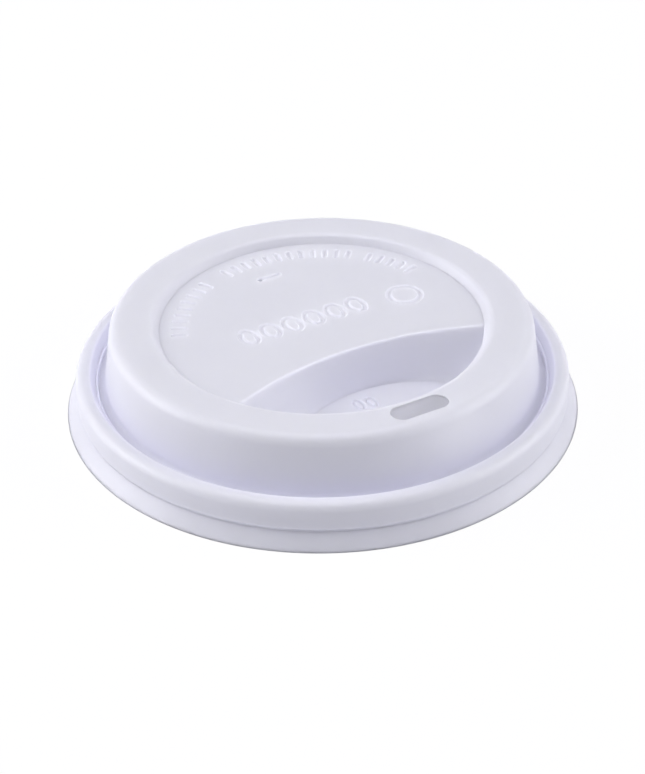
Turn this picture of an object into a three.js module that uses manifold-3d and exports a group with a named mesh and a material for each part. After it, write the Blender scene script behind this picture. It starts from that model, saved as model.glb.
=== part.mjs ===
// Travel lid for a hot drink cup: one thin sheet of white plastic, drawn to shape and trimmed.
// Millimetres, +Z up. The origin is the middle of the circle that the skirt's edge stands on.
// The sip hole lies towards -Y and the vent towards +Y.

import * as THREE from 'three';
import { mergeVertices } from 'three/addons/utils/BufferGeometryUtils.js';
import Module from 'manifold-3d';

// The cup's rim and the sheet
const CUP_RIM_RADIUS = 45.0;
const RIM_CLEARANCE = 0.2;
const WALL = 0.4;

// Bead, the hollow ring that grips the cup's rim, and the skirt that flares out below it
const BEAD_HEIGHT = 8.5;
const BEAD_WIDTH = 2.7;
const BEAD_OUTER_ROUND = 1.6;
const BEAD_INNER_ROUND = 0.6;
const SNAP_DEPTH = 0.4;
const SNAP_SLOPE = 0.7;
const SKIRT_HEIGHT = 3.0;
const SKIRT_FLARE = 2.3;
const CREASE_ROUND = 0.25;

// Groove between the bead and the dome, whose outer wall plugs the cup's mouth
const PLUG_DRAFT = 1.5;
const GROOVE_HEIGHT = 6.0;
const GROOVE_WIDTH = 1.2;
const GROOVE_RISE = 0.3;
const GROOVE_ROUND = 1.5;

// Dome with the flat drinking ring on top, and the shallow panel inside the ring
const RING_HEIGHT = 17.7;
const DOME_DRAFT = 1.4;
const DOME_ROUND = 2.2;
const RING_WIDTH = 7.7;
const RING_INNER_ROUND = 1.5;
const PANEL_DEPTH = 1.5;
const PANEL_SLOPE_RUN = 1.3;
const PANEL_ROUND = 0.3;

// Well that leaves room for the upper lip, let into the panel's front
const WELL_REACH = 19.9;
const WELL_EDGE_RADIUS = 62;
const WELL_DEPTH = 7.3;
const WELL_SLANT = 3.0;
const WELL_FLOOR_RADIUS = 24.8;
const WELL_DRAFT = 0.9;

// Sip hole through the ring, and the vent in the panel's back
const SIP_LENGTH = 11.2;
const SIP_WIDTH = 4.3;
const SIP_INSET = 4.8;
const VENT_INSET = 9.8;
const VENT_LENGTH = 5.2;
const VENT_WIDTH = 1.2;
const VENT_SUNK = 0.2;
const VENT_HOLE_RADIUS = 0.4;

// Fineness of the round forms
const TURN_STEPS = 64;
const WELL_STEPS = 96;
const END_STEPS = 8;
const BEND_STEP = THREE.MathUtils.degToRad(30);

// Tools reach this far past the faces that they cut
const OVERCUT = 1;

const beadRadius = CUP_RIM_RADIUS + RIM_CLEARANCE + WALL;
const creaseRadius = beadRadius - SNAP_DEPTH;
const skirtRadius = creaseRadius + SKIRT_FLARE;
const plugTopRadius = beadRadius - BEAD_WIDTH;
const plugFootRadius = plugTopRadius - PLUG_DRAFT;
const domeFootRadius = plugFootRadius - GROOVE_WIDTH;
const domeTopRadius = domeFootRadius - DOME_DRAFT;
const ringInnerRadius = domeTopRadius - RING_WIDTH;
const panelRadius = ringInnerRadius - PANEL_SLOPE_RUN;
const panelHeight = RING_HEIGHT - PANEL_DEPTH;

const wasm = await Module();
wasm.setup();

// Outer face of the sheet from the axis to the skirt's edge: radius, height and bend radius
function sheetCorners() {
  return [
    { r: 0, z: panelHeight, bend: 0 },
    { r: panelRadius, z: panelHeight, bend: PANEL_ROUND },
    { r: ringInnerRadius, z: RING_HEIGHT, bend: RING_INNER_ROUND },
    { r: domeTopRadius, z: RING_HEIGHT, bend: DOME_ROUND },
    { r: domeFootRadius, z: GROOVE_HEIGHT + GROOVE_RISE, bend: GROOVE_ROUND },
    { r: plugFootRadius, z: GROOVE_HEIGHT, bend: CREASE_ROUND },
    { r: plugTopRadius, z: BEAD_HEIGHT, bend: BEAD_INNER_ROUND },
    { r: beadRadius, z: BEAD_HEIGHT, bend: BEAD_OUTER_ROUND },
    { r: beadRadius, z: SKIRT_HEIGHT + SNAP_SLOPE, bend: CREASE_ROUND },
    { r: creaseRadius, z: SKIRT_HEIGHT, bend: CREASE_ROUND },
    { r: skirtRadius, z: 0, bend: 0 },
  ];
}

// Unit direction from one corner to the next
function direction(from, to) {
  return new THREE.Vector2(to.r - from.r, to.z - from.z).normalize();
}

// The side of a direction that the sheet's thickness lies on
function inwardNormal(along) {
  return new THREE.Vector2(along.y, -along.x);
}

// The same corners on the sheet's inner face, with every bend round the same centre
function offsetCorners(corners, thickness) {
  return corners.map((corner, i) => {
    const before = direction(corners[Math.max(i - 1, 0)], corners[Math.max(i, 1)]);
    const last = corners.length - 1;
    const after = direction(corners[Math.min(i, last - 1)], corners[Math.min(i + 1, last)]);
    const normalBefore = inwardNormal(before);
    const normalAfter = inwardNormal(after);
    const mitre = thickness / (1 + normalBefore.dot(normalAfter));
    const bendChange = before.cross(after) > 0 ? thickness : -thickness;
    return {
      r: corner.r + mitre * (normalBefore.x + normalAfter.x),
      z: corner.z + mitre * (normalBefore.y + normalAfter.y),
      bend: corner.bend > 0 ? Math.max(corner.bend + bendChange, 0) : 0,
    };
  });
}

// Points of one rounded corner, evenly round its bend
function bendPoints(before, corner, after) {
  const incoming = direction(before, corner);
  const outgoing = direction(corner, after);
  const turn = Math.atan2(incoming.cross(outgoing), incoming.dot(outgoing));
  const tangent = corner.bend * Math.tan(Math.abs(turn) / 2);
  const startR = corner.r - incoming.x * tangent;
  const startZ = corner.z - incoming.y * tangent;
  const side = Math.sign(turn);
  const centreR = startR - side * incoming.y * corner.bend;
  const centreZ = startZ + side * incoming.x * corner.bend;
  const startAngle = Math.atan2(startZ - centreZ, startR - centreR);
  const steps = Math.ceil(Math.abs(turn) / BEND_STEP);
  const points = [];
  for (let i = 0; i <= steps; i += 1) {
    const angle = startAngle + (turn * i) / steps;
    const r = centreR + corner.bend * Math.cos(angle);
    const z = centreZ + corner.bend * Math.sin(angle);
    points.push(new THREE.Vector2(r, z));
  }
  return points;
}

// A line of corners with each bend drawn as a round one
function roundedLine(corners) {
  return corners.flatMap((corner, i) => {
    const isBend = corner.bend > 0 && i > 0 && i < corners.length - 1;
    return isBend
      ? bendPoints(corners[i - 1], corner, corners[i + 1])
      : [new THREE.Vector2(corner.r, corner.z)];
  });
}

// A solid of revolution about Z whose profile runs from the top of the axis to its bottom
function turned(points) {
  const upwards = [...points].reverse();
  return new THREE.LatheGeometry(upwards, TURN_STEPS).rotateX(Math.PI / 2);
}

// A closed mesh as a solid that can be joined and cut
function toSolid(geometry) {
  const bare = geometry.clone();
  bare.deleteAttribute('normal');
  bare.deleteAttribute('uv');
  const merged = mergeVertices(bare);
  const index = merged.index.array;
  const triangles = [];
  for (let i = 0; i < index.length; i += 3) {
    const [a, b, c] = index.slice(i, i + 3);
    if (a !== b && b !== c && c !== a) {
      triangles.push(a, b, c);
    }
  }
  return new wasm.Manifold(new wasm.Mesh({
    numProp: 3,
    vertProperties: new Float32Array(merged.attributes.position.array),
    triVerts: new Uint32Array(triangles),
  }));
}

function toGeometry(solid) {
  const mesh = solid.getMesh();
  const geometry = new THREE.BufferGeometry();
  geometry.setAttribute('position', new THREE.BufferAttribute(mesh.vertProperties, 3));
  geometry.setIndex(new THREE.BufferAttribute(mesh.triVerts, 1));
  geometry.computeVertexNormals();
  return geometry;
}

// Everything under the sheet's outer face, down to the skirt's edge
function outerBlank() {
  const line = roundedLine(sheetCorners());
  return toSolid(turned([...line, new THREE.Vector2(0, 0)]));
}

// Everything under the sheet's inner face, carried on past the skirt's edge
function innerBlank() {
  const line = roundedLine(offsetCorners(sheetCorners(), WALL));
  const edge = line[line.length - 1];
  const above = line[line.length - 2];
  const slope = (edge.x - above.x) / (above.y - edge.y);
  const below = new THREE.Vector2(edge.x + slope * (edge.y + OVERCUT), -OVERCUT);
  return toSolid(turned([...line.slice(0, -1), below, new THREE.Vector2(0, -OVERCUT)]));
}

// A cone frustum about Z whose axis leans along Y: both ends give their radius, place and height
function leaningCone(top, bottom) {
  const height = top.z - bottom.z;
  const cone = new THREE.CylinderGeometry(top.radius, bottom.radius, height, WELL_STEPS);
  cone.rotateX(Math.PI / 2);
  const lean = (top.y - bottom.y) / height;
  cone.applyMatrix4(new THREE.Matrix4().makeShear(0, 0, 0, 0, 0, lean));
  cone.translate(0, (top.y + bottom.y) / 2, (top.z + bottom.z) / 2);
  return toSolid(cone);
}

// The end of a cone carried on in a straight line to a new height
function carriedOn(top, bottom, height) {
  const share = (height - bottom.z) / (top.z - bottom.z);
  return {
    radius: bottom.radius + share * (top.radius - bottom.radius),
    y: bottom.y + share * (top.y - bottom.y),
    z: height,
  };
}

// The well's space: a slanted back wall that bulges towards the middle, a drafted front wall
// and a flat floor, all moved outwards by a thickness
function wellSpace(thickness) {
  const floorHeight = panelHeight - WELL_DEPTH;
  const slantGrowth = thickness * Math.hypot(1, WELL_SLANT / WELL_DEPTH);
  const draftGrowth = thickness * Math.hypot(1, WELL_DRAFT / WELL_DEPTH);
  const edgeY = panelRadius - WELL_REACH;
  const backTop = {
    radius: WELL_EDGE_RADIUS + slantGrowth,
    y: -edgeY - WELL_EDGE_RADIUS,
    z: panelHeight,
  };
  const backFloor = {
    radius: WELL_FLOOR_RADIUS + slantGrowth,
    y: -edgeY - WELL_SLANT - WELL_FLOOR_RADIUS,
    z: floorHeight,
  };
  const frontTop = { radius: panelRadius + draftGrowth, y: 0, z: panelHeight };
  const frontFloor = { radius: panelRadius - WELL_DRAFT + draftGrowth, y: 0, z: floorHeight };
  const low = floorHeight - thickness;
  const high = RING_HEIGHT + OVERCUT;
  const back = leaningCone(carriedOn(backTop, backFloor, high), carriedOn(backTop, backFloor, low));
  const front = leaningCone(
    carriedOn(frontTop, frontFloor, high),
    carriedOn(frontTop, frontFloor, low),
  );
  return back.intersect(front);
}

// A slot with round ends, long along X, from one height to another
function slotTool(length, width, centreY, low, high) {
  const radius = width / 2;
  const half = length / 2 - radius;
  const outline = new THREE.Shape();
  outline.absarc(half, 0, radius, -Math.PI / 2, Math.PI / 2, false);
  outline.absarc(-half, 0, radius, Math.PI / 2, (3 * Math.PI) / 2, false);
  const options = { depth: high - low, bevelEnabled: false, curveSegments: END_STEPS };
  const tool = new THREE.ExtrudeGeometry(outline, options);
  return toSolid(tool.translate(0, centreY, low));
}

function sipHole() {
  const centreY = SIP_INSET - domeTopRadius;
  const low = RING_HEIGHT - WALL - OVERCUT;
  return slotTool(SIP_LENGTH, SIP_WIDTH, centreY, low, RING_HEIGHT + OVERCUT);
}

// The vent is a short sunken bar with a small hole through its middle
function vent() {
  const centreY = panelRadius - VENT_INSET;
  const high = panelHeight + OVERCUT;
  const bar = slotTool(VENT_LENGTH, VENT_WIDTH, centreY, panelHeight - VENT_SUNK, high);
  const pin = new THREE.CylinderGeometry(
    VENT_HOLE_RADIUS,
    VENT_HOLE_RADIUS,
    WALL + 2 * OVERCUT,
    2 * END_STEPS,
  );
  pin.rotateX(Math.PI / 2);
  pin.translate(0, centreY, panelHeight - WALL / 2);
  return bar.add(toSolid(pin));
}

function lidSolid() {
  const outside = outerBlank().subtract(wellSpace(0));
  const inside = innerBlank().subtract(wellSpace(WALL));
  return outside.subtract(inside).subtract(sipHole()).subtract(vent());
}

const whitePlastic = new THREE.MeshStandardMaterial({
  color: 0xe6e6ef,
  roughness: 0.38,
  metalness: 0,
});

const lid = new THREE.Mesh(toGeometry(lidSolid()), whitePlastic);
lid.name = 'lid';

const lidGroup = new THREE.Group();
lidGroup.add(lid);

export default lidGroup;
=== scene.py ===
"""A white travel lid for a hot drink cup, on a white table under soft lamps."""
import math

import bmesh
import bpy
import numpy as np
from mathutils import Matrix, Vector


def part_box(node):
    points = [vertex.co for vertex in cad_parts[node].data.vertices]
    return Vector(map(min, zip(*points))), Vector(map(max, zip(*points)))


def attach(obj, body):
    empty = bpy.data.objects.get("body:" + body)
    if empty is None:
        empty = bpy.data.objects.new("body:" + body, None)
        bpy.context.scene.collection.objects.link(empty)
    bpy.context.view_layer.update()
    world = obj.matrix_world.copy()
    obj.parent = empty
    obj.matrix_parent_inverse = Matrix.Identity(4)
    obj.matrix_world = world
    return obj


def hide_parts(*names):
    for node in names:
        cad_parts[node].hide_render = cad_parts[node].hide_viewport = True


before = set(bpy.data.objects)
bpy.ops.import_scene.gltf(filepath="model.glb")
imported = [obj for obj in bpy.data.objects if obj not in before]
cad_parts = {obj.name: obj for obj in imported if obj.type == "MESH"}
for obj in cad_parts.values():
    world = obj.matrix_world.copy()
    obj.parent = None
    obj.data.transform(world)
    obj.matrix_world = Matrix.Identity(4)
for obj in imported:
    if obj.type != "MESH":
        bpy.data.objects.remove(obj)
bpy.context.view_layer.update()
MM = 0.001

# The sheet
# One sheet of white polystyrene, drawn over a mould and trimmed round the skirt. Its section is
# a line of corners, each with its own bend, and the inner face follows the outer one at a wall's
# distance. Radii and heights are in millimetres from the middle of the skirt's edge.
SKIRT_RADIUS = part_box("lid")[1][0] / MM
RING_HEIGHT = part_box("lid")[1][2] / MM
WALL = 0.4

SKIRT_HEIGHT = 3.0
SKIRT_FLARE = 2.3
SNAP_DEPTH = 0.4
SNAP_SLOPE = 0.7
CREASE_BEND = 0.35
BEAD_HEIGHT = 8.5
BEAD_WIDTH = 2.7
BEAD_OUTER_BEND = 1.6
BEAD_INNER_BEND = 0.6

PLUG_DRAFT = 1.5
PLUG_STEP_OUT = 0.25
PLUG_STEP_WIDTH = 0.3
PLUG_STEP_HEIGHT = 0.6
PLUG_STEP_BEND = 0.12
GROOVE_HEIGHT = 6.0
GROOVE_WIDTH = 1.2
GROOVE_RISE = 0.3
GROOVE_BEND = 1.5
GROOVE_CREASE_BEND = 0.15

DOME_DRAFT = 1.4
DOME_BEND = 2.2
RING_WIDTH = 7.7
RING_INNER_BEND = 1.5
PANEL_DEPTH = 1.5
PANEL_SLOPE_RUN = 1.3
PANEL_BEND = 0.3

crease_radius = SKIRT_RADIUS - SKIRT_FLARE
bead_radius = crease_radius + SNAP_DEPTH
plug_top = bead_radius - BEAD_WIDTH
plug_foot = plug_top - PLUG_DRAFT
dome_foot = plug_foot - GROOVE_WIDTH
dome_top = dome_foot - DOME_DRAFT
ring_inner = dome_top - RING_WIDTH
panel_radius = ring_inner - PANEL_SLOPE_RUN
panel_height = RING_HEIGHT - PANEL_DEPTH

SECTION = [
    (0.0, panel_height, 0.0),
    (panel_radius, panel_height, PANEL_BEND),
    (ring_inner, RING_HEIGHT, RING_INNER_BEND),
    (dome_top, RING_HEIGHT, DOME_BEND),
    (dome_foot, GROOVE_HEIGHT + GROOVE_RISE, GROOVE_BEND),
    (plug_foot, GROOVE_HEIGHT, GROOVE_CREASE_BEND),
    (plug_foot + PLUG_STEP_OUT, GROOVE_HEIGHT + PLUG_STEP_HEIGHT, PLUG_STEP_BEND),
    (plug_foot + PLUG_STEP_OUT + PLUG_STEP_WIDTH, GROOVE_HEIGHT + PLUG_STEP_HEIGHT, PLUG_STEP_BEND),
    (plug_top, BEAD_HEIGHT, BEAD_INNER_BEND),
    (bead_radius, BEAD_HEIGHT, BEAD_OUTER_BEND),
    (bead_radius, SKIRT_HEIGHT + SNAP_SLOPE, CREASE_BEND),
    (crease_radius, SKIRT_HEIGHT, CREASE_BEND),
    (SKIRT_RADIUS, 0.0, 0.0),
]
BEND_STEP = math.radians(11)
LONGEST_STEP = 3.5


def unit(start, end):
    """Unit direction between two points of the section."""
    step = np.subtract(end[:2], start[:2])
    return step / np.linalg.norm(step)


def offset_section(corners, thickness):
    """The section's corners on the inner face, with each bend round the same centre."""
    moved = []
    last = len(corners) - 1
    for i, (r, z, bend) in enumerate(corners):
        before = unit(corners[max(i - 1, 0)], corners[max(i, 1)])
        after = unit(corners[min(i, last - 1)], corners[min(i + 1, last)])
        normals = np.array([before[1] + after[1], -before[0] - after[0]])
        mitre = thickness / (1 + before @ after)
        turns_left = before[0] * after[1] - before[1] * after[0] > 0
        new_bend = max(bend + (thickness if turns_left else -thickness), 0) if bend else 0.0
        moved.append((r + mitre * normals[0], z + mitre * normals[1], new_bend))
    return moved


def bend_points(before, corner, after):
    """Points evenly round the bend of one corner."""
    incoming = unit(before, corner)
    outgoing = unit(corner, after)
    cross = incoming[0] * outgoing[1] - incoming[1] * outgoing[0]
    turn = math.atan2(cross, incoming @ outgoing)
    bend = corner[2]
    start = np.array(corner[:2]) - incoming * bend * math.tan(abs(turn) / 2)
    side = math.copysign(1, turn)
    centre = start + side * bend * np.array([-incoming[1], incoming[0]])
    spoke = start - centre
    steps = math.ceil(abs(turn) / BEND_STEP)
    points = []
    for i in range(steps + 1):
        angle = turn * i / steps
        cos, sin = math.cos(angle), math.sin(angle)
        points.append(centre + [spoke[0] * cos - spoke[1] * sin, spoke[0] * sin + spoke[1] * cos])
    return points


def rounded_section(corners):
    """The section as a line of points, with bends round and long straights divided."""
    line = [np.array(corners[0][:2])]
    for before, corner, after in zip(corners, corners[1:], corners[2:]):
        line += bend_points(before, corner, after) if corner[2] else [np.array(corner[:2])]
    line.append(np.array(corners[-1][:2]))
    divided = [line[0]]
    for start, end in zip(line, line[1:]):
        parts = math.ceil(np.linalg.norm(end - start) / LONGEST_STEP)
        divided += [start + (end - start) * i / parts for i in range(1, parts + 1)]
    return divided


# The lip well
# The hollow that leaves room for the upper lip is drawn into the same sheet. Its back wall slants
# down from an arc across the panel, its front wall drops with a little draft, and its floor is
# flat. Heights come from the walls' own cones, blended where the walls meet.
WELL_REACH = 19.9
WELL_EDGE_RADIUS = 62.0
WELL_DEPTH = 7.3
WELL_SLANT = 3.0
WELL_FLOOR_RADIUS = 24.8
WELL_DRAFT = 0.9
WELL_EDGE_BLEND = 0.45
WELL_FLOOR_BLEND = 0.35
WELL_CORNER_BLEND = 0.9
WELL_HUB = (0.0, -19.5)

COLUMNS = 400
FLOOR_SHARES = (0.25, 0.5, 0.75)
FLOOR_BEND_STEPS = (-0.5, -0.28, -0.14, -0.05, 0.05, 0.14, 0.28)
WALL_SHARES = (0.15, 0.3, 0.45, 0.6, 0.75, 0.88)
EDGE_BEND_STEPS = (-0.28, -0.14, -0.05, 0.05, 0.14, 0.28, 0.5)
PANEL_SHARES = (0.1, 0.25, 0.4, 0.55, 0.7, 0.85, 0.96)
RIM_GAP = 0.01
RING_GAP = 1e-4


def soft_min(a, b, blend):
    """The lower of two heights, rounded over a height of blend where they cross."""
    share = np.maximum(blend - np.abs(a - b), 0) / blend
    return np.minimum(a, b) - share * share * blend / 4


def soft_max(a, b, blend):
    """The higher of two heights, rounded in the same way."""
    return -soft_min(-a, -b, blend)


def well_walls(thickness):
    """Circles of the well's floor and edge, moved out by a thickness: y, radius, and floor height."""
    slant_growth = thickness * math.hypot(1, WELL_SLANT / WELL_DEPTH)
    draft_growth = thickness * math.hypot(1, WELL_DRAFT / WELL_DEPTH)
    edge_y = WELL_REACH - panel_radius
    return {
        "back_edge": (edge_y - WELL_EDGE_RADIUS, WELL_EDGE_RADIUS + slant_growth),
        "back_floor": (edge_y - WELL_SLANT - WELL_FLOOR_RADIUS, WELL_FLOOR_RADIUS + slant_growth),
        "front_edge": (0.0, panel_radius + draft_growth),
        "front_floor": (0.0, panel_radius - WELL_DRAFT + draft_growth),
        "floor": panel_height - WELL_DEPTH - thickness,
        "cone_foot": panel_height - WELL_DEPTH,
    }


def well_height(x, y, walls):
    """Height of the well's surface over a point of the plan."""
    (edge_y, edge_r), (floor_y, floor_r) = walls["back_edge"], walls["back_floor"]
    shift, growth = edge_y - floor_y, edge_r - floor_r
    a = shift ** 2 - growth ** 2
    b = -2 * shift * (y - floor_y) - 2 * floor_r * growth
    c = x ** 2 + (y - floor_y) ** 2 - floor_r ** 2
    climb = (-b - np.sqrt(np.maximum(b * b - 4 * a * c, 0))) / (2 * a)
    back = walls["cone_foot"] + WELL_DEPTH * climb
    front_floor, front_edge = walls["front_floor"][1], walls["front_edge"][1]
    draft = (np.hypot(x, y) - front_floor) / (front_edge - front_floor)
    front = walls["cone_foot"] + WELL_DEPTH * draft
    sides = soft_max(back, front, WELL_CORNER_BLEND)
    return soft_max(sides, np.full_like(sides, walls["floor"]), WELL_FLOOR_BLEND)


def reach_to_circle(directions, centre_y, radius):
    """Distance from the well's hub to a circle, along each direction of the plan."""
    hub = np.array(WELL_HUB) - [0.0, centre_y]
    along = directions @ hub
    return -along + np.sqrt(along ** 2 - hub @ hub + radius ** 2)


def panel_reaches(directions, walls, rim):
    """Distances of the panel's rings from the hub, closest together where the well bends."""
    floor = np.minimum(
        reach_to_circle(directions, *walls["back_floor"]),
        reach_to_circle(directions, *walls["front_floor"]),
    )
    edge = np.minimum(reach_to_circle(directions, *walls["back_edge"]), rim)
    reaches = [floor * share for share in FLOOR_SHARES]
    reaches += [floor + step for step in FLOOR_BEND_STEPS]
    reaches += [floor + (edge - floor) * share for share in WALL_SHARES]
    reaches += [edge + step for step in EDGE_BEND_STEPS]
    reaches += [edge + (rim - edge) * share for share in PANEL_SHARES]
    ordered = np.sort(np.minimum(np.array(reaches), rim - RIM_GAP), axis=0)
    nudge = np.arange(len(reaches))[:, None] * RING_GAP
    return np.minimum(ordered + nudge, rim - 2 * RIM_GAP + nudge)


def lid_face(thickness):
    """Rings of points over one face of the sheet, from the well's hub to the skirt's edge."""
    section = rounded_section(offset_section(SECTION, thickness))
    walls = well_walls(thickness)
    turns = np.linspace(0, 2 * math.pi, COLUMNS, endpoint=False)
    directions = np.stack([np.cos(turns), np.sin(turns)], axis=1)
    start = next(i for i, point in enumerate(section) if point[0] > panel_radius - WALL)
    rim = reach_to_circle(directions, 0.0, section[start][0])
    rings = []
    for reach in panel_reaches(directions, walls, rim):
        x, y = (np.array(WELL_HUB) + directions * reach[:, None]).T
        rings.append((x, y, np.full(COLUMNS, section[0][1])))
    rim_x, rim_y = (np.array(WELL_HUB) + directions * rim[:, None]).T
    spokes = np.stack([rim_x, rim_y]) / section[start][0]
    for r, z in section[start:]:
        rings.append((spokes[0] * r, spokes[1] * r, np.full(COLUMNS, z)))
    shaped = []
    for x, y, z in rings:
        inside = np.hypot(x, y) < ring_inner
        sunk = soft_min(z, well_height(x, y, walls), WELL_EDGE_BLEND)
        shaped.append(np.stack([x, y, np.where(inside, sunk, z)], axis=1))
    hub = np.array([[*WELL_HUB, walls["floor"]]])
    return hub, shaped


def sheet_mesh():
    """The closed mesh of the whole sheet: the outer face, the trimmed edge and the inner face."""
    outer_hub, outer = lid_face(0.0)
    inner_hub, inner = lid_face(WALL)
    edge = inner[-1].copy()
    flare = SKIRT_FLARE / SKIRT_HEIGHT
    radius = np.hypot(edge[:, 0], edge[:, 1])
    edge[:, :2] *= ((radius + flare * edge[:, 2]) / radius)[:, None]
    edge[:, 2] = 0.0
    rings = outer + [edge] + inner[-2::-1]
    points = np.concatenate([outer_hub, *rings, inner_hub]) * MM
    faces = []
    for i in range(COLUMNS):
        nxt = (i + 1) % COLUMNS
        faces.append((0, 1 + i, 1 + nxt))
        for row in range(len(rings) - 1):
            low, high = 1 + row * COLUMNS, 1 + (row + 1) * COLUMNS
            faces.append((low + i, high + i, high + nxt, low + nxt))
        last = 1 + (len(rings) - 1) * COLUMNS
        faces.append((last + i, len(points) - 1, last + nxt))
    mesh = bpy.data.meshes.new("lid_sheet")
    mesh.from_pydata(points.tolist(), [], faces)
    mesh.update()
    return mesh


def add_object(name, mesh):
    """A mesh as an object of the scene."""
    obj = bpy.data.objects.new(name, mesh)
    bpy.context.scene.collection.objects.link(obj)
    return obj


lid = add_object("lid_shell", sheet_mesh())


# Pressed marks and punched holes
# The panel has a curved row of ribs, a row of links and a ring, and the well two ovals, all
# plain. Each is joined to the inner face and then cut in the outer one, so that the sheet gets no
# thinner. The sip hole is punched through the ring, and the vent is a bar with a pierced hole.
SIP_LENGTH = 11.2
SIP_WIDTH = 4.3
SIP_INSET = 4.8
SIP_END_STEPS = 32
PUNCH_REACH = 2
VENT_INSET = 9.8
VENT_LENGTH = 5.2
VENT_WIDTH = 1.2
VENT_HOLE_RADIUS = 0.4
VENT_HOLE_STEPS = 12
NEARLY_ROUND = 1.005

MARK_SUNK = 0.28
MARK_DRAFT_SHARE = 0.3
TOOL_LIFT = 0.3
MARK_GATHER = 0.22

RIB_LENGTH = 3.3
RIB_WIDTH = 1.15
RIB_RADIUS = 26.1
RIB_STEP = 5.0
RIB_GROUPS = ((-67, 9), (-14, 12), (50, 5))

LINK_COUNT = 6
LINK_STEP = 4.5
LINK_HALF_WIDTH = 1.45
LINK_HALF_HEIGHT = 2.3
LINK_STROKE = 1.2
LINK_ROW = (-2.2, 3.0)
RING_MARK_PLACE = (18.7, 1.4)
RING_MARK_RADIUS = 3.0
FLOOR_MARKS = ((-2.0, -16.7), (0.4, -17.2))
FLOOR_MARK_HALF_WIDTH = 0.725
FLOOR_MARK_HALF_HEIGHT = 1.45
FLOOR_MARK_STROKE = 0.75
BAR_END_STEPS = 10
OVAL_STEPS = 36


def slot_outline(length, width, turn=0.0, centre=(0.0, 0.0), steps=BAR_END_STEPS):
    """Points round a bar with round ends."""
    half, radius = length / 2 - width / 2, width / 2
    points = []
    for end in (0, 1):
        for i in range(steps + 1):
            angle = -math.pi / 2 + math.pi * (end + i / steps)
            shift = half if end == 0 else -half
            points.append((shift + radius * math.cos(angle), radius * math.sin(angle)))
    cos, sin = math.cos(turn), math.sin(turn)
    return [(centre[0] + x * cos - y * sin, centre[1] + x * sin + y * cos) for x, y in points]


def loft(bm, outlines, heights, closed=False):
    """A solid through like outlines at their heights: capped, or joined end to start."""
    rows = []
    for outline, height in zip(outlines, heights):
        rows.append([bm.verts.new((x * MM, y * MM, height * MM)) for x, y in outline])
    pairs = list(zip(rows, rows[1:] + rows[:1])) if closed else list(zip(rows, rows[1:]))
    for low, high in pairs:
        for i in range(len(low)):
            nxt = (i + 1) % len(low)
            bm.faces.new((low[i], low[nxt], high[nxt], high[i]))
    if not closed:
        bm.faces.new(rows[0][::-1])
        bm.faces.new(rows[-1])


def sunken_bar(bm, length, width, height, turn=0.0, centre=(0.0, 0.0)):
    """A drafted tool for one sunken bar in a face at the given height."""
    draft = MARK_DRAFT_SHARE * width
    spread = draft * TOOL_LIFT / MARK_SUNK
    foot = slot_outline(length - 2 * draft, width - 2 * draft, turn, centre)
    head = slot_outline(length + 2 * spread, width + 2 * spread, turn, centre)
    loft(bm, (foot, head), (height - MARK_SUNK, height + TOOL_LIFT))


def oval_outline(half_width, half_height, centre):
    """Points round an oval."""
    points = []
    for i in range(OVAL_STEPS):
        angle = 2 * math.pi * i / OVAL_STEPS
        x = half_width * math.cos(angle)
        y = half_height * math.sin(angle)
        points.append((centre[0] + x, centre[1] + y))
    return points


def sunken_loop(bm, half_width, half_height, stroke, height, centre):
    """A drafted tool for a sunken oval line."""
    draft = MARK_DRAFT_SHARE * stroke
    narrow = stroke / 2 - draft
    wide = stroke / 2 + draft * TOOL_LIFT / MARK_SUNK
    low, high = height - MARK_SUNK, height + TOOL_LIFT
    outlines = []
    for grow in (-narrow, narrow, wide, -wide):
        outlines.append(oval_outline(half_width + grow, half_height + grow, centre))
    loft(bm, outlines, (low, low, high, high), closed=True)


def shape(obj, operation, build, *details):
    """Joins on or cuts away what build draws, and leaves no modifier behind."""
    bm = bmesh.new()
    build(bm, *details)
    bmesh.ops.recalc_face_normals(bm, faces=bm.faces)
    mesh = bpy.data.meshes.new("tool")
    bm.to_mesh(mesh)
    bm.free()
    tool = add_object("tool", mesh)
    modifier = obj.modifiers.new("shape", "BOOLEAN")
    modifier.operation = operation
    modifier.solver = "MANIFOLD"
    modifier.object = tool
    bpy.context.view_layer.update()
    shaped = obj.evaluated_get(bpy.context.evaluated_depsgraph_get())
    shaped_mesh = bpy.data.meshes.new_from_object(shaped)
    obj.modifiers.clear()
    obj.data = shaped_mesh
    bpy.data.objects.remove(tool)


def draw_through_holes(bm):
    """Punches for the sip hole and for the vent's hole, at the left end of the vent's bar."""
    sip_centre = (0, SIP_INSET - dome_top)
    sip = slot_outline(SIP_LENGTH, SIP_WIDTH, centre=sip_centre, steps=SIP_END_STEPS)
    loft(bm, (sip, sip), (RING_HEIGHT - PUNCH_REACH, RING_HEIGHT + PUNCH_REACH))
    vent_y = panel_radius - VENT_INSET
    pin_x = VENT_HOLE_RADIUS + MARK_DRAFT_SHARE * VENT_WIDTH - VENT_LENGTH / 2
    pin_width = 2 * VENT_HOLE_RADIUS
    pin_length = NEARLY_ROUND * pin_width
    pin = slot_outline(pin_length, pin_width, centre=(pin_x, vent_y), steps=VENT_HOLE_STEPS)
    loft(bm, (pin, pin), (panel_height - PUNCH_REACH, panel_height - MARK_SUNK / 2))


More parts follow.
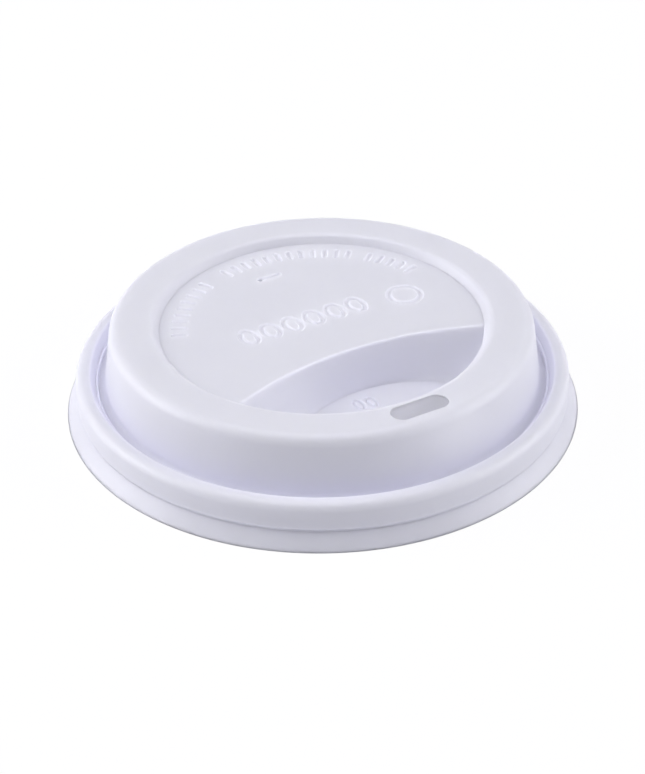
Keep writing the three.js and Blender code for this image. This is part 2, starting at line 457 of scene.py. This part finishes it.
def draw_marks(bm, level):
    """Tools for the marks, on the outer face at level 0 and on the inner face a wall lower."""
    panel = panel_height + level
    floor = panel_height - WELL_DEPTH + level
    sunken_bar(bm, VENT_LENGTH, VENT_WIDTH, panel, centre=(0, panel_radius - VENT_INSET))
    for first, count in RIB_GROUPS:
        for i in range(count):
            turn = math.radians(90 - first - i * RIB_STEP)
            centre = (RIB_RADIUS * math.cos(turn), RIB_RADIUS * math.sin(turn))
            sunken_bar(bm, RIB_LENGTH, RIB_WIDTH, panel, turn, centre)
    for i in range(LINK_COUNT):
        centre = (LINK_ROW[0] + (i - (LINK_COUNT - 1) / 2) * LINK_STEP, LINK_ROW[1])
        sunken_loop(bm, LINK_HALF_WIDTH, LINK_HALF_HEIGHT, LINK_STROKE, panel, centre)
    sunken_loop(bm, RING_MARK_RADIUS, RING_MARK_RADIUS, LINK_STROKE, panel, RING_MARK_PLACE)
    for centre in FLOOR_MARKS:
        half_sizes = (FLOOR_MARK_HALF_WIDTH, FLOOR_MARK_HALF_HEIGHT)
        sunken_loop(bm, *half_sizes, FLOOR_MARK_STROKE, floor, centre)


shape(lid, "UNION", draw_marks, -WALL - MARK_GATHER)
shape(lid, "DIFFERENCE", draw_marks, 0.0)
shape(lid, "DIFFERENCE", draw_through_holes)


# White plastic
# Thermoformed polystyrene: a faintly bluish white with a satin skin. Light scatters inside the
# thin sheet, which softens its shades. A faint mottle varies the tint and the gloss, and a fine
# grain roughens the skin.
PLASTIC_COLOUR = (0.87, 0.865, 0.99)
PLASTIC_SHADE = (0.855, 0.85, 0.98)
PLASTIC_ROUGHNESS = 0.42
ROUGHNESS_SPREAD = 0.03
PLASTIC_IOR = 1.5
GLOW_THROUGH = 1.0
GLOW_REACH = (1.0, 1.0, 0.93)
GLOW_DEPTH = 2.4 * MM
MOTTLE_SCALE = 60.0
MOTTLE_DETAIL = 3
SHADE_FROM = 0.3
COLOUR_FROM = 0.7
GRAIN_SCALE = 900.0
GRAIN_STRENGTH = 0.12
GRAIN_HEIGHT = 0.02 * MM
SMOOTH_ANGLE = math.radians(32)


def white_plastic():
    """The lid's plastic, with a mottled tint and a fine grain."""
    material = bpy.data.materials.new("white_plastic")
    material.use_nodes = True
    nodes, links = material.node_tree.nodes, material.node_tree.links
    shader = nodes["Principled BSDF"]
    shader.inputs["IOR"].default_value = PLASTIC_IOR
    shader.inputs["Subsurface Weight"].default_value = GLOW_THROUGH
    shader.inputs["Subsurface Radius"].default_value = GLOW_REACH
    shader.inputs["Subsurface Scale"].default_value = GLOW_DEPTH
    place = nodes.new("ShaderNodeTexCoord")
    mottle = nodes.new("ShaderNodeTexNoise")
    mottle.inputs["Scale"].default_value = MOTTLE_SCALE
    mottle.inputs["Detail"].default_value = MOTTLE_DETAIL
    links.new(place.outputs["Object"], mottle.inputs["Vector"])
    colour = nodes.new("ShaderNodeValToRGB")
    colour.color_ramp.elements[0].position = SHADE_FROM
    colour.color_ramp.elements[0].color = (*PLASTIC_SHADE, 1)
    colour.color_ramp.elements[1].position = COLOUR_FROM
    colour.color_ramp.elements[1].color = (*PLASTIC_COLOUR, 1)
    links.new(mottle.outputs["Fac"], colour.inputs["Fac"])
    links.new(colour.outputs["Color"], shader.inputs["Base Color"])
    sheen = nodes.new("ShaderNodeMapRange")
    sheen.inputs["To Min"].default_value = PLASTIC_ROUGHNESS - ROUGHNESS_SPREAD
    sheen.inputs["To Max"].default_value = PLASTIC_ROUGHNESS + ROUGHNESS_SPREAD
    links.new(mottle.outputs["Fac"], sheen.inputs["Value"])
    links.new(sheen.outputs["Result"], shader.inputs["Roughness"])
    grain = nodes.new("ShaderNodeTexNoise")
    grain.inputs["Scale"].default_value = GRAIN_SCALE
    links.new(place.outputs["Object"], grain.inputs["Vector"])
    bump = nodes.new("ShaderNodeBump")
    bump.inputs["Strength"].default_value = GRAIN_STRENGTH
    bump.inputs["Distance"].default_value = GRAIN_HEIGHT
    links.new(grain.outputs["Fac"], bump.inputs["Height"])
    links.new(bump.outputs["Normal"], shader.inputs["Normal"])
    return material


lid.data.materials.clear()
lid.data.materials.append(white_plastic())
lid.data.shade_smooth()
lid.data.set_sharp_from_angle(angle=SMOOTH_ANGLE)
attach(lid, "root")
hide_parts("lid")


# Floor
# A plain white table top. The camera sees it as mostly even white, and a small share of its lit
# surface stays in the picture and keeps the lid's shadow.
FLOOR_SIZE = 6.0
FLOOR_COLOUR = (0.78, 0.78, 0.8)
FLOOR_ROUGHNESS = 0.9
FLOOR_GLOW = 0.93


def floor_material():
    """A dull white surface, mixed with plain white for the camera's own rays."""
    material = bpy.data.materials.new("white_table")
    material.use_nodes = True
    nodes, links = material.node_tree.nodes, material.node_tree.links
    surface = nodes["Principled BSDF"]
    surface.inputs["Base Color"].default_value = (*FLOOR_COLOUR, 1)
    surface.inputs["Roughness"].default_value = FLOOR_ROUGHNESS
    surface.inputs["Specular IOR Level"].default_value = 0.0
    glow = nodes.new("ShaderNodeEmission")
    glow.inputs["Strength"].default_value = 1.0
    rays = nodes.new("ShaderNodeLightPath")
    share = nodes.new("ShaderNodeMath")
    share.operation = "MULTIPLY"
    share.inputs[1].default_value = FLOOR_GLOW
    links.new(rays.outputs["Is Camera Ray"], share.inputs[0])
    mix = nodes.new("ShaderNodeMixShader")
    links.new(share.outputs["Value"], mix.inputs["Fac"])
    links.new(surface.outputs["BSDF"], mix.inputs[1])
    links.new(glow.outputs["Emission"], mix.inputs[2])
    links.new(mix.outputs["Shader"], nodes["Material Output"].inputs["Surface"])
    return material


def floor_mesh():
    """One flat square at the height of the skirt's edge."""
    half = FLOOR_SIZE / 2
    corners = [(-half, -half, 0), (half, -half, 0), (half, half, 0), (-half, half, 0)]
    mesh = bpy.data.meshes.new("floor")
    mesh.from_pydata(corners, [], [(0, 1, 2, 3)])
    mesh.materials.append(floor_material())
    return mesh


add_object("floor", floor_mesh())


# Camera
# The photo looks down on the lid from a little to the left of the sip hole. The distance sets
# how strongly the near side is enlarged, and the lens then sets the lid's width in the picture.
CAMERA_TURN = math.radians(-119.4)
CAMERA_RISE = math.radians(33.7)
CAMERA_DISTANCE = 430.5 * MM
CAMERA_AIM_HEIGHT = 2.55 * MM
CAMERA_ROLL = math.radians(-0.78)
CAMERA_LENS_PIXELS = 2300
PICTURE_HEIGHT = 774
SENSOR = 36.0

away = Vector((-math.cos(CAMERA_TURN), -math.sin(CAMERA_TURN), 0))
rightwards = Vector((away.y, -away.x, 0))


def add_camera():
    """The camera on a circle round the lid, looking at a point on the lid's axis."""
    data = bpy.data.cameras.new("photo_camera")
    data.sensor_fit = "VERTICAL"
    data.sensor_height = SENSOR
    data.lens = CAMERA_LENS_PIXELS / PICTURE_HEIGHT * SENSOR
    camera = bpy.data.objects.new("photo_camera", data)
    bpy.context.scene.collection.objects.link(camera)
    level = -away * math.cos(CAMERA_RISE)
    camera.location = (level + Vector((0, 0, math.sin(CAMERA_RISE)))) * CAMERA_DISTANCE
    look = (Vector((0, 0, CAMERA_AIM_HEIGHT)) - camera.location).to_track_quat("-Z", "Y")
    camera.rotation_euler = (look.to_matrix() @ Matrix.Rotation(CAMERA_ROLL, 3, "Z")).to_euler()
    bpy.context.scene.camera = camera


add_camera()


# Light
# Three wide soft lamps, on the left, overhead and on the right, in an even pale surround. The
# front of the lid faces none of them, so it is the darkest side.
WORLD_COLOUR = (0.91, 0.91, 1.0)
WORLD_STRENGTH = 0.455
LAMP_COLOUR = (0.95, 0.95, 1.0)
LAMPS = (
    # name, side, back, height and size in metres, power in watts
    ("left_lamp", -0.95, 0.05, 0.46, 0.8, 9.0),
    ("top_lamp", -0.1, 0.0, 1.2, 0.9, 7.0),
    ("right_lamp", 1.0, 0.0, 0.42, 0.8, 7.4),
)


def add_lamp(name, side, back, height, size, power):
    """A square soft lamp, placed as seen from the camera and aimed at the lid."""
    data = bpy.data.lights.new(name, "AREA")
    data.size = size
    data.energy = power
    data.color = LAMP_COLOUR
    lamp = bpy.data.objects.new(name, data)
    bpy.context.scene.collection.objects.link(lamp)
    lamp.location = rightwards * side + away * back + Vector((0, 0, height))
    lamp.rotation_euler = (-lamp.location).to_track_quat("-Z", "Y").to_euler()


def light_world():
    """The even pale surround."""
    world = bpy.data.worlds.new("pale_surround")
    world.use_nodes = True
    background = world.node_tree.nodes["Background"]
    background.inputs["Color"].default_value = (*WORLD_COLOUR, 1)
    background.inputs["Strength"].default_value = WORLD_STRENGTH
    bpy.context.scene.world = world


for lamp_values in LAMPS:
    add_lamp(*lamp_values)
light_world()
bpy.context.scene.view_settings.view_transform = "Standard"
